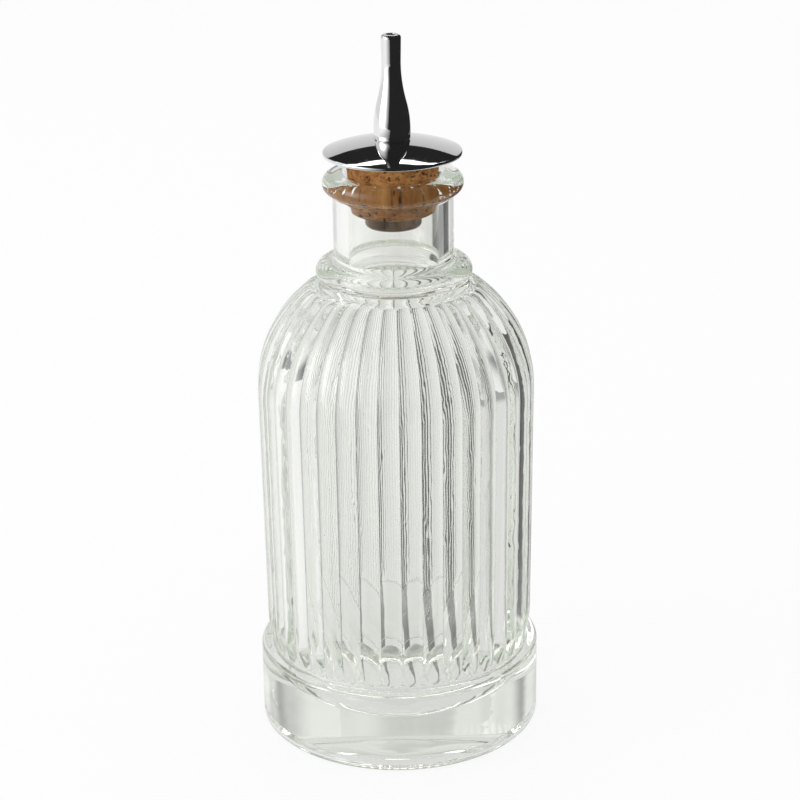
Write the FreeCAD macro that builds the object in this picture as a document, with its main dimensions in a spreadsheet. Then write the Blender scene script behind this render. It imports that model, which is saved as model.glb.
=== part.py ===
import FreeCAD, Part
import math
import os
import Sketcher

# Bitters bottle: a reeded glass bottle closed by a cork stopper that carries a metal dasher spout.
# Millimetres, +Z up. The origin is the centre of the circle on which the bottle stands.

# Driving dimensions: alias, value and meaning.
DRIVING_DIMENSIONS = (
    ("body_radius", 32.9, "valleys between the ribs, where the shoulder starts"),
    ("body_taper", 0.7, "how much smaller that radius is at the foot of the body"),
    ("body_length", 68.0, "height from the ledge to the start of the shoulder"),
    ("plinth_height", 21.0, "height of the ledge on which the ribs stand"),
    ("ledge_width", 2.8, "width of the ledge outside the valleys between the ribs"),
    ("foot_round", 2.2, "rounding of the bottom edge"),
    ("ledge_round", 1.2, "rounding of the outer edge of the ledge"),
    ("ledge_fillet", 0.8, "fillet between the ledge and the body"),
    ("foot_ring", 6.5, "width of the ring on which the bottle stands, with the rounded edge"),
    ("punt_depth", 1.2, "depth of the recess inside that ring"),
    ("shoulder_bend", 31.4, "radius of the shoulder's arc in the profile"),
    ("bead_step", 0.6, "inward step from the end of the shoulder to the bead at the foot of the neck"),
    ("bead_lift", 3.1, "height from the end of the shoulder to the bead's widest line"),
    ("bead_round", 2.5, "radius of the bead's section"),
    ("bead_sweep", 55.0, "degrees of the bead's section below its widest line"),
    ("bead_flat", 0.25, "flat ring on top of the bead"),
    ("neck_wall", 3.55, "glass of the neck"),
    ("neck_fillet", 1.7, "fillet between the bead and the neck"),
    ("neck_length", 21.6, "height from the top of the bead to the top of the lip"),
    ("lip_flat", 1.75, "flat ring on top of the lip"),
    ("lip_round", 2.45, "radius of the lip's half-round section"),
    ("lip_fillet", 0.9, "fillet between the neck and the lip"),
    ("mouth_radius", 10.9, "bore of the neck"),
    ("mouth_round", 1.8, "rounding of the mouth's inner edge"),
    ("throat_round", 4.0, "rounding inside, where the bore opens into the shoulder"),
    ("glass_wall", 3.7, "glass between the valleys of the ribs and the inside"),
    ("floor_glass", 5.8, "glass between the recess in the underside and the inside"),
    ("bowl_flat", 5.5, "radius of the flat middle of the bowl-shaped inner floor"),
    ("crown_rise", 13.0, "height above the start of the shoulder at which body and neck are parted"),
    ("rib_count", 40, "ribs round the bottle"),
    ("rib_height", 0.9, "rise of a rib above its valleys, at the start of the shoulder"),
    ("rib_ground", 0.3, "depth of the smooth glass at the ends of the ribs below the valleys"),
    ("rib_sink", 0.2, "depth of a rib's crest below that smooth glass at its very end"),
    ("rib_foot_runout", 8.0, "length over which the lower end of a rib rises out of the glass"),
    ("rib_runout", 2.8, "length over which the upper end of a rib sinks into the glass"),
    ("rib_margin", 2.0, "degrees of the shoulder's arc left smooth above the ribs"),
    ("rib_turn", 5.7, "degrees from the right-hand side to the middle of the nearest rib"),
    ("seat_gap", 0.2, "clearance between the cork and the mouth where it seats"),
    ("cork_insertion", 9.4, "depth of the cork's lower end below the lip"),
    ("cork_standing", 4.3, "height of the cork's upper end above the lip"),
    ("cork_seat", 3.5, "length of the straight part that seats in the mouth"),
    ("cork_nose", 0.87, "how much smaller the cork's radius is at its lower end"),
    ("cork_slope", 0.115, "widening of the cork above its seat, radius per length"),
    ("cork_chamfer", 0.7, "broken lower edge of the cork"),
    ("flange_inset", 0.3, "how far the flange's rim stays inside the lip's widest line"),
    ("flange_rim", 0.85, "thickness of the flange's rim"),
    ("flange_rise", 2.75, "height of the spout's seat above the rim"),
    ("flange_edge", 0.35, "rounding of the flange's rim"),
    ("seat_margin", 0.4, "width of the flange's flat seat outside the foot of the spout"),
    ("belly_radius", 4.4, "widest part of the spout"),
    ("belly_rise", 2.4, "height of that part above the seat"),
    ("belly_bend", 26.0, "radius of the belly's arc in the profile"),
    ("waist_radius", 2.28, "narrowest part of the spout"),
    ("waist_rise", 18.3, "height of that part above the seat"),
    ("tip_rise", 6.7, "height of the tip above the narrowest part"),
    ("tip_flat", 0.45, "flat ring round the dash hole"),
    ("tip_round", 0.8, "rounding of the tip"),
    ("dash_radius", 1.15, "dash hole"),
    ("dash_length", 8.0, "straight length of the dash hole, from the tip"),
    ("socket_depth", 5.0, "depth of the stem's socket in the spout"),
    ("channel_length", 4.0, "straight length of the channel above that socket"),
    ("stem_radius", 2.8, "stem tube, outside"),
    ("stem_wall", 0.7, "wall of the stem tube"),
    ("stem_gap", 0.03, "clearance between the stem and the bores it passes through"),
    ("nut_radius", 6.8, "retaining nut, outside"),
    ("nut_height", 3.5, "height of the nut"),
    ("nut_round", 1.2, "rounding of the nut's lower edge"),
    ("nut_chamfer", 0.3, "chamfer of the nut's upper edge"),
)

FULL_TURN = 360.0
SHEET = "Sizes"
RIB_STEPS_ON_SHOULDER = 7
FOOT_RUNOUT_STEPS = (0.0, 0.03, 0.12, 0.4, 1.0)
RUNOUT_STEPS = (0.0, 0.12, 0.45, 1.0)


class Size:
    """A size with its number and the expression that gives it from the sheet."""

    def __init__(self, value, text):
        self.value = value
        self.text = text

    def __add__(self, other):
        other = as_size(other)
        return Size(self.value + other.value, f"({self.text} + {other.text})")

    def __sub__(self, other):
        other = as_size(other)
        return Size(self.value - other.value, f"({self.text} - {other.text})")

    def __mul__(self, other):
        other = as_size(other)
        return Size(self.value * other.value, f"({self.text} * {other.text})")

    def __truediv__(self, other):
        other = as_size(other)
        return Size(self.value / other.value, f"({self.text} / {other.text})")

    def __neg__(self):
        return Size(-self.value, f"(0 - {self.text})")


def as_size(number):
    """A plain number as a Size; a Size stays as it is."""
    if isinstance(number, Size):
        return number
    return Size(float(number), repr(float(number)))


def root(size):
    """Square root of a size."""
    return Size(math.sqrt(size.value), f"sqrt({size.text})")


def sine(degrees):
    """Sine of an angle in degrees."""
    return Size(math.sin(math.radians(degrees.value)), f"sin({degrees.text})")


def cosine(degrees):
    """Cosine of an angle in degrees."""
    return Size(math.cos(math.radians(degrees.value)), f"cos({degrees.text})")


def arc_cosine(ratio):
    """Angle in degrees that has this cosine."""
    return Size(math.degrees(math.acos(ratio.value)), f"acos({ratio.text})")


def leg(hypotenuse, other_leg):
    """Other short side of a right-angled triangle."""
    return root(hypotenuse * hypotenuse - other_leg * other_leg)


class Dimensions:
    """Every driving dimension as read from the sheet, and the sizes and heights that follow from them."""

    def __init__(self, sheet, rows):
        for alias, _, _ in rows:
            setattr(self, alias, Size(float(sheet.get(alias)), f"{SHEET}.{alias}"))
        self.derive_bottle()
        self.derive_stopper()

    def derive_bottle(self):
        """Radii from the bore outwards and heights from the table upwards."""
        self.body_foot_radius = self.body_radius - self.body_taper
        self.plinth_radius = self.body_foot_radius + self.ledge_width
        self.punt_radius = self.plinth_radius - self.foot_ring
        self.floor_height = self.punt_depth + self.floor_glass
        self.shoulder_height = self.plinth_height + self.body_length
        self.shoulder_centre = self.body_radius - self.shoulder_bend
        self.neck_radius = self.mouth_radius + self.neck_wall
        self.bead_centre = self.neck_radius + self.neck_fillet + self.bead_flat
        self.bead_radius = self.bead_centre + self.bead_round
        self.bead_start = self.bead_centre + self.bead_round * cosine(self.bead_sweep)
        self.ground_bend = self.shoulder_bend - self.rib_ground
        self.shoulder_end = self.bead_start + self.bead_step
        shoulder_reach = self.shoulder_end - self.shoulder_centre
        self.shoulder_sweep = arc_cosine(shoulder_reach / self.ground_bend)
        self.shoulder_top = self.shoulder_height + leg(self.ground_bend, shoulder_reach)
        self.bead_height = self.shoulder_top + self.bead_lift
        self.bead_top = self.bead_height + self.bead_round
        self.bottle_height = self.bead_top + self.neck_length
        self.lip_centre = self.mouth_radius + self.mouth_round + self.lip_flat
        self.lip_radius = self.lip_centre + self.lip_round

    def derive_stopper(self):
        """Everything on the stopper is placed from the lip and sized from mouth, spout or stem."""
        self.cork_bottom = self.bottle_height - self.cork_insertion
        self.cork_top = self.bottle_height + self.cork_standing
        self.flange_radius = self.lip_radius - self.flange_inset
        self.spout_seat = self.cork_top + self.flange_rim + self.flange_rise
        self.belly_centre = self.belly_radius - self.belly_bend
        self.spout_foot = self.belly_centre + leg(self.belly_bend, self.belly_rise)
        self.seat_radius = self.spout_foot + self.seat_margin
        self.tip_radius = self.dash_radius + self.tip_flat + self.tip_round
        self.stem_bore = self.stem_radius + self.stem_gap
        self.channel_radius = self.stem_radius - self.stem_wall


def write_sheet(doc, rows):
    """Spreadsheet with a name, a value and a meaning in each row."""
    sheet = doc.addObject("Spreadsheet::Sheet", SHEET)
    for row, (alias, value, meaning) in enumerate(rows, start=1):
        sheet.set(f"A{row}", alias)
        sheet.set(f"B{row}", str(value))
        sheet.set(f"C{row}", meaning)
        sheet.setAlias(f"B{row}", alias)
    return sheet


def origin_feature(body, role):
    """Plane or axis of a body's own origin."""
    return next(item for item in body.Origin.OriginFeatures if item.Role == role)


def new_body(doc, label):
    """Empty body named for its piece."""
    body = doc.addObject("PartDesign::Body", label)
    body.Label = label
    return body


def arc_geometry(start, end, radius, to_left):
    """Arc of under half a circle whose centre lies to the left or right of the way from start to end."""
    along = end - start
    side = FreeCAD.Vector(-along.y, along.x, 0).normalize()
    if not to_left:
        side = -side
    centre = (start + end) * 0.5 + side * math.sqrt(radius**2 - (along.Length / 2) ** 2)
    first, last = (start, end) if to_left else (end, start)
    first_angle = math.atan2(first.y - centre.y, first.x - centre.x)
    last_angle = math.atan2(last.y - centre.y, last.x - centre.x)
    circle = Part.Circle(centre, FreeCAD.Vector(0, 0, 1), radius)
    return Part.ArcOfCircle(circle, first_angle, last_angle)


def line_to(x, y):
    """Straight stretch of an outline."""
    return x, y, None, True


def arc_to(x, y, radius, to_left):
    """Round stretch of an outline, with its centre to the left or right of the way."""
    return x, y, radius, to_left


def outline_sketch(body, name, plane, stretches):
    """Closed sketch on one of the body's planes; every corner and radius is bound to the sheet."""
    sketch = body.newObject("Sketcher::SketchObject", name)
    sketch.AttachmentSupport = [(origin_feature(body, plane), "")]
    sketch.MapMode = "FlatFace"
    corners = [(as_size(x), as_size(y)) for x, y, _, _ in stretches]
    points = [FreeCAD.Vector(x.value, y.value, 0) for x, y in corners]
    ends = []
    for index, (_, _, radius, to_left) in enumerate(stretches):
        start, end = points[index - 1], points[index]
        if radius is None:
            geometry = sketch.addGeometry(Part.LineSegment(start, end))
            ends.append((geometry, 1, 2))
        else:
            geometry = sketch.addGeometry(arc_geometry(start, end, radius.value, to_left))
            ends.append((geometry, 1, 2) if to_left else (geometry, 2, 1))
            bind(sketch, Sketcher.Constraint("Radius", geometry, radius.value), radius)
    for index, (geometry, _, last) in enumerate(ends):
        following, first, _ = ends[(index + 1) % len(ends)]
        sketch.addConstraint(Sketcher.Constraint("Coincident", geometry, last, following, first))
        for kind, size in zip(("DistanceX", "DistanceY"), corners[index]):
            bind(sketch, Sketcher.Constraint(kind, -1, 1, geometry, last, size.value), size)
    return sketch


def bind(sketch, constraint, size):
    """Add a constraint whose value follows the sheet."""
    index = sketch.addConstraint(constraint)
    sketch.setExpression(f"Constraints[{index}]", size.text)


def turned(body, name, kind, sketch):
    """Full turn of a sketch about the vertical axis: a Revolution adds, a Groove takes away."""
    feature = body.newObject(f"PartDesign::{kind}", name)
    feature.Profile = sketch
    feature.ReferenceAxis = (sketch, ["V_Axis"])
    feature.Angle = FULL_TURN
    return feature


def circle_edges(feature, radius, height):
    """Names of a feature's edges that are circles of one radius at one height."""
    names = []
    for number, edge in enumerate(feature.Shape.Edges, start=1):
        curve = edge.Curve
        if not isinstance(curve, Part.Circle):
            continue
        if math.isclose(curve.Radius, radius.value, abs_tol=1e-4):
            if math.isclose(curve.Center.z, height.value, abs_tol=1e-4):
                names.append(f"Edge{number}")
    if not names:
        raise RuntimeError(f"{feature.Name} has no edge of radius {radius.value} at {height.value}")
    return names


def dressed(body, name, kind, base, edges, size):
    """Fillet or Chamfer of some edges of the last feature."""
    feature = body.newObject(f"PartDesign::{kind}", name)
    feature.Base = (base, edges)
    feature.setExpression("Radius" if kind == "Fillet" else "Size", size.text)
    return feature


def bottle_outside(body, d):
    """Profile of the glass without its ribs, from the underside to the top of the lip."""
    ground_foot = d.body_foot_radius - d.rib_ground
    bead_start_height = d.bead_height - d.bead_round * sine(d.bead_sweep)
    lip_height = d.bottle_height - d.lip_round
    fillet_offset = d.neck_radius + d.lip_fillet - d.lip_centre
    fillet_reach = d.lip_round + d.lip_fillet
    fillet_drop = leg(fillet_reach, fillet_offset)
    lip_share = d.lip_round / fillet_reach
    return outline_sketch(body, "OutsideProfile", "XZ_Plane", (
        line_to(0, d.punt_depth),
        line_to(d.punt_radius - d.punt_depth, d.punt_depth),
        line_to(d.punt_radius, 0),
        line_to(d.plinth_radius - d.foot_round, 0),
        arc_to(d.plinth_radius, d.foot_round, d.foot_round, True),
        line_to(d.plinth_radius, d.plinth_height - d.ledge_round),
        arc_to(d.plinth_radius - d.ledge_round, d.plinth_height, d.ledge_round, True),
        line_to(ground_foot + d.ledge_fillet, d.plinth_height),
        arc_to(ground_foot, d.plinth_height + d.ledge_fillet, d.ledge_fillet, False),
        line_to(d.body_radius - d.rib_ground, d.shoulder_height),
        arc_to(d.shoulder_end, d.shoulder_top, d.ground_bend, True),
        line_to(d.bead_start, bead_start_height),
        arc_to(d.bead_radius, d.bead_height, d.bead_round, True),
        arc_to(d.bead_centre, d.bead_top, d.bead_round, True),
        line_to(d.neck_radius + d.neck_fillet, d.bead_top),
        arc_to(d.neck_radius, d.bead_top + d.neck_fillet, d.neck_fillet, False),
        line_to(d.neck_radius, lip_height - fillet_drop),
        arc_to(
            d.lip_centre + fillet_offset * lip_share,
            lip_height - fillet_drop * lip_share,
            d.lip_fillet,
            False,
        ),
        arc_to(d.lip_radius, lip_height, d.lip_round, True),
        arc_to(d.lip_centre, d.bottle_height, d.lip_round, True),
        line_to(0, d.bottle_height),
    ))


def bottle_inside(body, d):
    """Profile of the inside: bowl, smooth wall, shoulder, bore and rounded mouth."""
    wall_foot = d.body_foot_radius - d.glass_wall
    wall_top = d.body_radius - d.glass_wall
    bowl_bend = wall_foot - d.bowl_flat
    inner_bend = d.shoulder_bend - d.glass_wall
    throat_reach = inner_bend + d.throat_round
    throat_inset = d.mouth_radius + d.throat_round - d.shoulder_centre
    throat_rise = leg(throat_reach, throat_inset)
    throat_share = inner_bend / throat_reach
    return outline_sketch(body, "InsideProfile", "XZ_Plane", (
        line_to(0, d.floor_height),
        line_to(d.bowl_flat, d.floor_height),
        arc_to(wall_foot, d.floor_height + bowl_bend, bowl_bend, True),
        line_to(wall_top, d.shoulder_height),
        arc_to(
            d.shoulder_centre + throat_inset * throat_share,
            d.shoulder_height + throat_rise * throat_share,
            inner_bend,
            True,
        ),
        arc_to(d.mouth_radius, d.shoulder_height + throat_rise, d.throat_round, False),
        line_to(d.mouth_radius, d.bottle_height - d.mouth_round),
        arc_to(d.mouth_radius + d.mouth_round, d.bottle_height, d.mouth_round, False),
        line_to(0, d.bottle_height),
    ))


def rib_stations(d):
    """Places along the ribs from their lower to their upper end: valley, lean in degrees, share sunk."""
    first = d.plinth_height + d.ledge_fillet
    body_run = d.shoulder_height - first
    rib_sweep = d.shoulder_sweep - d.rib_margin
    runout_sweep = d.rib_runout / d.shoulder_bend * math.degrees(1)
    full_sweep = rib_sweep - runout_sweep
    stations = []

    def on_body(along, sunk):
        radius = d.body_foot_radius + d.body_taper * along / body_run
        stations.append((radius, first + along, as_size(0), sunk))

    def on_shoulder(lean, sunk):
        radius = d.shoulder_centre + d.shoulder_bend * cosine(lean)
        stations.append((radius, d.shoulder_height + d.shoulder_bend * sine(lean), lean, sunk))

    for step in FOOT_RUNOUT_STEPS:
        on_body(d.rib_foot_runout * step, runout_loss(step))
    for step in range(RIB_STEPS_ON_SHOULDER):
        on_shoulder(full_sweep * (step / RIB_STEPS_ON_SHOULDER), 0.0)
    for step in reversed(RUNOUT_STEPS):
        on_shoulder(rib_sweep - runout_sweep * step, runout_loss(step))
    return stations


def runout_loss(step):
    """Share of its height that a rib has lost at a step of its run-out: a quarter circle."""
    return 1.0 - math.sqrt(1.0 - (1.0 - step) ** 2)


def reeded_ring(doc, d, name, valley, crest):
    """Closed ring of round rib faces through valleys and crests, each a radius and a height."""
    count = int(d.rib_count.value)
    pitch = FULL_TURN / count

    def point(place, steps):
        angle = math.radians(d.rib_turn.value + pitch * steps)
        radius, height = place
        return FreeCAD.Vector(radius.value * math.cos(angle), radius.value * math.sin(angle), height.value)

    faces = [
        Part.Arc(point(valley, rib - 0.5), point(crest, rib), point(valley, rib + 0.5)).toShape()
        for rib in range(count)
    ]
    ring = doc.addObject("Part::Feature", name)
    ring.Shape = Part.Wire(faces)
    return ring


def rib_rings(doc, d):
    """Rings along the ribs, square to the glass; the last one closes the loft inside the glass."""
    rings = []
    for number, (radius, height, lean, lost) in enumerate(rib_stations(d), 1):
        rise = d.rib_height * radius / d.body_radius
        sunk = (rise + d.rib_ground + d.rib_sink) * lost
        valley = (radius - sunk * cosine(lean), height - sunk * sine(lean))
        crest = (valley[0] + rise * cosine(lean), valley[1] + rise * sine(lean))
        rings.append(reeded_ring(doc, d, f"RibRing{number}", valley, crest))
    inner = valley[0] - d.rib_runout
    rings.append(reeded_ring(doc, d, "RibRingInside", (inner, valley[1]), (inner + rise, valley[1])))
    return rings


def make_bottle(doc, d):
    """Reeded glass: turned outside with lofted ribs, turned inside cut out, parted at two heights."""
    turning = new_body(doc, "bottle_turning")
    turned(turning, "Outside", "Revolution", bottle_outside(turning, d))
    hollow = new_body(doc, "bottle_hollow")
    turned(hollow, "Inside", "Revolution", bottle_inside(hollow, d))
    ribs = doc.addObject("Part::Loft", "Ribs")
    ribs.Sections = rib_rings(doc, d)
    ribs.Solid = True
    ribs.Ruled = True
    blank = doc.addObject("Part::Fuse", "ReededBlank")
    blank.Base = turning
    blank.Tool = ribs
    blank.Refine = False
    glass = doc.addObject("Part::Cut", "ReededGlass")
    glass.Base = blank
    glass.Tool = hollow
    glass.Refine = False
    crown = d.shoulder_height + d.crown_rise
    return [
        glass_between(doc, d, glass, "glass_foot", as_size(0), d.plinth_height),
        glass_between(doc, d, glass, "glass_body", d.plinth_height, crown),
        glass_between(doc, d, glass, "glass_neck", crown, d.bottle_height),
    ]


def glass_between(doc, d, glass, label, low, high):
    """Part of the glass between two heights."""
    slab = doc.addObject("Part::Cylinder", f"{label}_slab")
    slab.setExpression("Radius", (d.plinth_radius + d.ledge_width).text)
    slab.setExpression("Height", (high - low).text)
    slab.setExpression("Placement.Base.z", low.text)
    part = doc.addObject("Part::Common", label)
    part.Label = label
    part.Base = glass
    part.Tool = slab
    part.Refine = False
    return part


def make_cork(doc, d):
    """Cork with a bore for the stem, a tapered nose, a straight seat and a head that widens."""
    body = new_body(doc, "cork")
    seat_radius = d.mouth_radius - d.seat_gap
    seat_top = d.bottle_height - d.mouth_round
    lower_radius = seat_radius - d.cork_nose
    upper_radius = seat_radius + (d.cork_top - seat_top) * d.cork_slope
    profile = outline_sketch(body, "CorkProfile", "XZ_Plane", (
        line_to(d.stem_bore, d.cork_bottom),
        line_to(lower_radius, d.cork_bottom),
        line_to(seat_radius, seat_top - d.cork_seat),
        line_to(seat_radius, seat_top),
        line_to(upper_radius, d.cork_top),
        line_to(d.stem_bore, d.cork_top),
    ))
    blank = turned(body, "CorkBlank", "Revolution", profile)
    doc.recompute()
    lower_edge = circle_edges(blank, lower_radius, d.cork_bottom)
    dressed(body, "BrokenEdge", "Chamfer", blank, lower_edge, d.cork_chamfer)
    return body


def make_drip_flange(doc, d):
    """Domed disc with a flat underside, a flat seat for the spout and a bore for the stem."""
    body = new_body(doc, "drip_flange")
    underside = d.cork_top
    rim_top = underside + d.flange_rim
    run = d.flange_radius * d.flange_radius - d.seat_radius * d.seat_radius
    centre_drop = (run - d.flange_rise * d.flange_rise) / (d.flange_rise * 2)
    dome_bend = root(d.flange_radius * d.flange_radius + centre_drop * centre_drop)
    profile = outline_sketch(body, "FlangeProfile", "XZ_Plane", (
        line_to(d.stem_bore, underside),
        line_to(d.flange_radius, underside),
        line_to(d.flange_radius, rim_top),
        arc_to(d.seat_radius, d.spout_seat, dome_bend, True),
        line_to(d.stem_bore, d.spout_seat),
    ))
    blank = turned(body, "FlangeBlank", "Revolution", profile)
    doc.recompute()
    rim = circle_edges(blank, d.flange_radius, underside) + circle_edges(blank, d.flange_radius, rim_top)
    dressed(body, "RoundRim", "Fillet", blank, rim, d.flange_edge)
    return body


def make_spout(doc, d):
    """Skittle-shaped nozzle: belly and waist are two arcs that meet smoothly; hollow to the dash hole."""
    body = new_body(doc, "spout")
    seat = d.spout_seat
    tip = seat + d.waist_rise + d.tip_rise
    socket_end = seat + d.socket_depth
    narrowing = d.belly_radius - d.waist_radius
    climb = d.waist_rise - d.belly_rise
    both_bends = (narrowing * narrowing + climb * climb) / (narrowing * 2)
    waist_bend = both_bends - d.belly_bend
    belly_share = d.belly_bend / both_bends
    profile = outline_sketch(body, "SpoutProfile", "XZ_Plane", (
        line_to(d.stem_bore, seat),
        line_to(d.spout_foot, seat),
        arc_to(d.belly_radius, seat + d.belly_rise, d.belly_bend, True),
        arc_to(
            d.belly_centre + (both_bends - narrowing) * belly_share,
            seat + d.belly_rise + climb * belly_share,
            d.belly_bend,
            True,
        ),
        arc_to(d.waist_radius, seat + d.waist_rise, waist_bend, False),
        line_to(d.tip_radius, tip - d.tip_round),
        arc_to(d.tip_radius - d.tip_round, tip, d.tip_round, True),
        line_to(d.dash_radius, tip),
        line_to(d.dash_radius, tip - d.dash_length),
        line_to(d.channel_radius, socket_end + d.channel_length),
        line_to(d.channel_radius, socket_end),
        line_to(d.stem_bore, socket_end),
    ))
    turned(body, "SpoutTurning", "Revolution", profile)
    return body


def make_stem_tube(doc, d):
    """Tube from the lower face of the nut to the end of the spout's socket."""
    body = new_body(doc, "stem_tube")
    lower_end = d.cork_bottom - d.nut_height
    upper_end = d.spout_seat + d.socket_depth
    profile = outline_sketch(body, "StemProfile", "XZ_Plane", (
        line_to(d.channel_radius, lower_end),
        line_to(d.stem_radius, lower_end),
        line_to(d.stem_radius, upper_end),
        line_to(d.channel_radius, upper_end),
    ))
    turned(body, "StemTurning", "Revolution", profile)
    return body


def make_retaining_nut(doc, d):
    """Low round nut that clamps the cork against the flange."""
    body = new_body(doc, "retaining_nut")
    upper_face = d.cork_bottom
    lower_face = upper_face - d.nut_height
    profile = outline_sketch(body, "NutProfile", "XZ_Plane", (
        line_to(d.stem_bore, lower_face),
        line_to(d.nut_radius, lower_face),
        line_to(d.nut_radius, upper_face),
        line_to(d.stem_bore, upper_face),
    ))
    blank = turned(body, "NutBlank", "Revolution", profile)
    doc.recompute()
    lower_edge = circle_edges(blank, d.nut_radius, lower_face)
    rounded = dressed(body, "RoundLowerEdge", "Fillet", blank, lower_edge, d.nut_round)
    doc.recompute()
    upper_edge = circle_edges(rounded, d.nut_radius, upper_face)
    dressed(body, "ChamferUpperEdge", "Chamfer", rounded, upper_edge, d.nut_chamfer)
    return body


def check_document(doc, pieces):
    """Stop if any object failed or any piece is empty or invalid."""
    for item in doc.Objects:
        if "Invalid" in item.State or "Error" in item.State:
            raise RuntimeError(f"{item.Name} failed: {item.State}")
    for piece in pieces:
        if piece.Shape.isNull() or not piece.Shape.isValid():
            raise RuntimeError(f"{piece.Label} has no valid shape")
        if len(piece.Shape.Solids) != 1:
            raise RuntimeError(f"{piece.Label} has {len(piece.Shape.Solids)} solids")


def main():
    doc = FreeCAD.newDocument("bitters_bottle")
    sheet = write_sheet(doc, DRIVING_DIMENSIONS)
    doc.recompute()
    d = Dimensions(sheet, DRIVING_DIMENSIONS)
    makers = (make_cork, make_drip_flange, make_spout, make_stem_tube, make_retaining_nut)
    pieces = make_bottle(doc, d) + [make(doc, d) for make in makers]
    doc.recompute()
    check_document(doc, pieces)
    os.makedirs("parts", exist_ok=True)
    for piece in pieces:
        piece.Shape.exportStep(f"parts/{piece.Label}.step")
        print(piece.Label, f"{piece.Shape.Volume:.1f} mm3")


main()
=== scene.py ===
import math

import bpy
from bpy.props import FloatProperty, FloatVectorProperty, IntProperty, PointerProperty
from bpy.types import NodeSocket, Operator, Panel, PropertyGroup
from mathutils import Euler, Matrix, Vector


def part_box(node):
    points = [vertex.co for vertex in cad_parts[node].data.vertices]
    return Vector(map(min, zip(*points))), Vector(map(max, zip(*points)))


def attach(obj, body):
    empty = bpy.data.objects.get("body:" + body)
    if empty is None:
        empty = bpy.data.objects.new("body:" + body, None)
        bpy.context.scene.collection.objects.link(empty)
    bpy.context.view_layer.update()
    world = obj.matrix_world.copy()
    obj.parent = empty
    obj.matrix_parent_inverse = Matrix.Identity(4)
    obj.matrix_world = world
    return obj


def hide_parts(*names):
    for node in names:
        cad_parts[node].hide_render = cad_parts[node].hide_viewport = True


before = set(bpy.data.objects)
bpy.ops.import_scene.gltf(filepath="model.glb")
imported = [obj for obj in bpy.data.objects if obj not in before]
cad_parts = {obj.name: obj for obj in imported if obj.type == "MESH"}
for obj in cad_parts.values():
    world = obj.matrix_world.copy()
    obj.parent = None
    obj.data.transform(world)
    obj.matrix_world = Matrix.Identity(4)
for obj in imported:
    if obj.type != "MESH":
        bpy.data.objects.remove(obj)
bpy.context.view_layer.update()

bl_info = {
    "name": "Bitters Bottle",
    "version": (1, 0, 0),
    "blender": (4, 5, 0),
    "location": "View3D > Sidebar > Bitters Bottle",
    "description": "Reeded glass bitters bottle with a cork and metal dasher stopper on a white sweep",
    "category": "Object",
}

# The frame's own measures: the boxes of the pieces that the looks are built round.
CORK_LOW, CORK_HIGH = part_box("cork")
FLANGE_LOW, FLANGE_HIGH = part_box("drip_flange")
SPOUT_LOW, SPOUT_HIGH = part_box("spout")
STEM_LOW, STEM_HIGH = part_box("stem_tube")
NUT_LOW, NUT_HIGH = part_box("retaining_nut")

MM = 0.001
WHITE = (1.0, 1.0, 1.0, 1.0)

# Fineness of the meshes: rows along an outline and columns round the axis.
GUARD = 0.15 * MM
MOST_GUARD = 0.25
ARC_STEP = math.radians(11)
BOWL_STEP = math.radians(5)
SHOULDER_STEP = math.radians(3.2)
SPOUT_STEP = math.radians(1.5)
DOME_STEP = math.radians(0.9)
FOOT_RUNOUT_ROWS, FOOT_RUNOUT_CROWDING = 15, 2.0
RUNOUT_ROWS, RUNOUT_CROWDING = 9, 1.6
WALL_ROWS = 8
TIP_ROWS = 3
SWEEP_BEND_ROWS = 12
COLUMNS_PER_RIB = 12
METAL_COLUMNS = 192
CORK_COLUMNS = 224
MERGE_DISTANCE = 0.0002 * MM

# Side of the way on which an arc's centre lies: left in the material, or right in the open.
ROUND, HOLLOW = 1.0, -1.0

# Shares of the waves' depth inside the shoulder, on the wall and in the bowl, and of the pits' depth on the
# cork's seat.
SHOULDER_WAVES, WALL_WAVES, BOWL_WAVES = 0.5, 1.0, 0.6
SEAT_PITS = 0.3

# Pits of the cork: noise at which they begin, at which they are deepest and at which they are darkest.
PIT_EDGE, PIT_BOTTOM, PIT_DARK = 0.56, 0.68, 0.66
PIT_DETAIL = 2.0
# Fine grain between the pits: how much finer it is than they are, and its share of their depth.
GRAIN_FINENESS, GRAIN_SHARE = 4.0, 0.14

# Cork: scales and ranges of its grain, blotches and specks, its skin and its gloss.
CORK_STRETCH = (1.0, 1.0, 1.7)
GRAIN_SCALE, GRAIN_RANGE, GRAIN_FORM = 420.0, (0.36, 0.6), {"detail": 5.0, "Roughness": 0.65}
BLOTCH_SCALE, BLOTCH_RANGE, BLOTCH_DETAIL = 130.0, (0.35, 0.65), 2.0
BLOTCH_SHADE = (0.72, 0.66, 0.6)
SPECK_SCALE, SPECK_RANGE, SPECK_DARK = 620.0, (0.1, 0.28), 0.7
SKIN_DEPTH = 0.12 * MM
CORK_ROUGHNESS, CORK_GLOSS = 0.85, 0.25

# Glass: its own colour and bending of light, its mould streaks, and the turns that light may take inside it.
GLASS_COLOUR = (0.985, 0.99, 0.967, 1.0)
GLASS_IOR = 1.5
STREAK_SCALE, STREAK_TWIST, STREAK_STRETCH = 300.0, 1.0, (1.0, 1.0, 0.35)
GLASS_BOUNCES = 24

# Handling marks: form of the smudges, and for each finish the scales of smudges and waves, the least and most
# roughness, and the height of the waves.
SMUDGE_RANGE, SMUDGE_FORM = (0.5, 0.75), {"detail": 4.0, "Roughness": 0.6, "Distortion": 0.6}
GLASS_MARKS = (45.0, 110.0, 0.0, 0.02, 0.03 * MM)
CHROME_MARKS = (260.0, 320.0, 0.025, 0.09, 0.004 * MM)
STEEL_MARKS = (900.0, 2500.0, 0.2, 0.38, 0.004 * MM)
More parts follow.
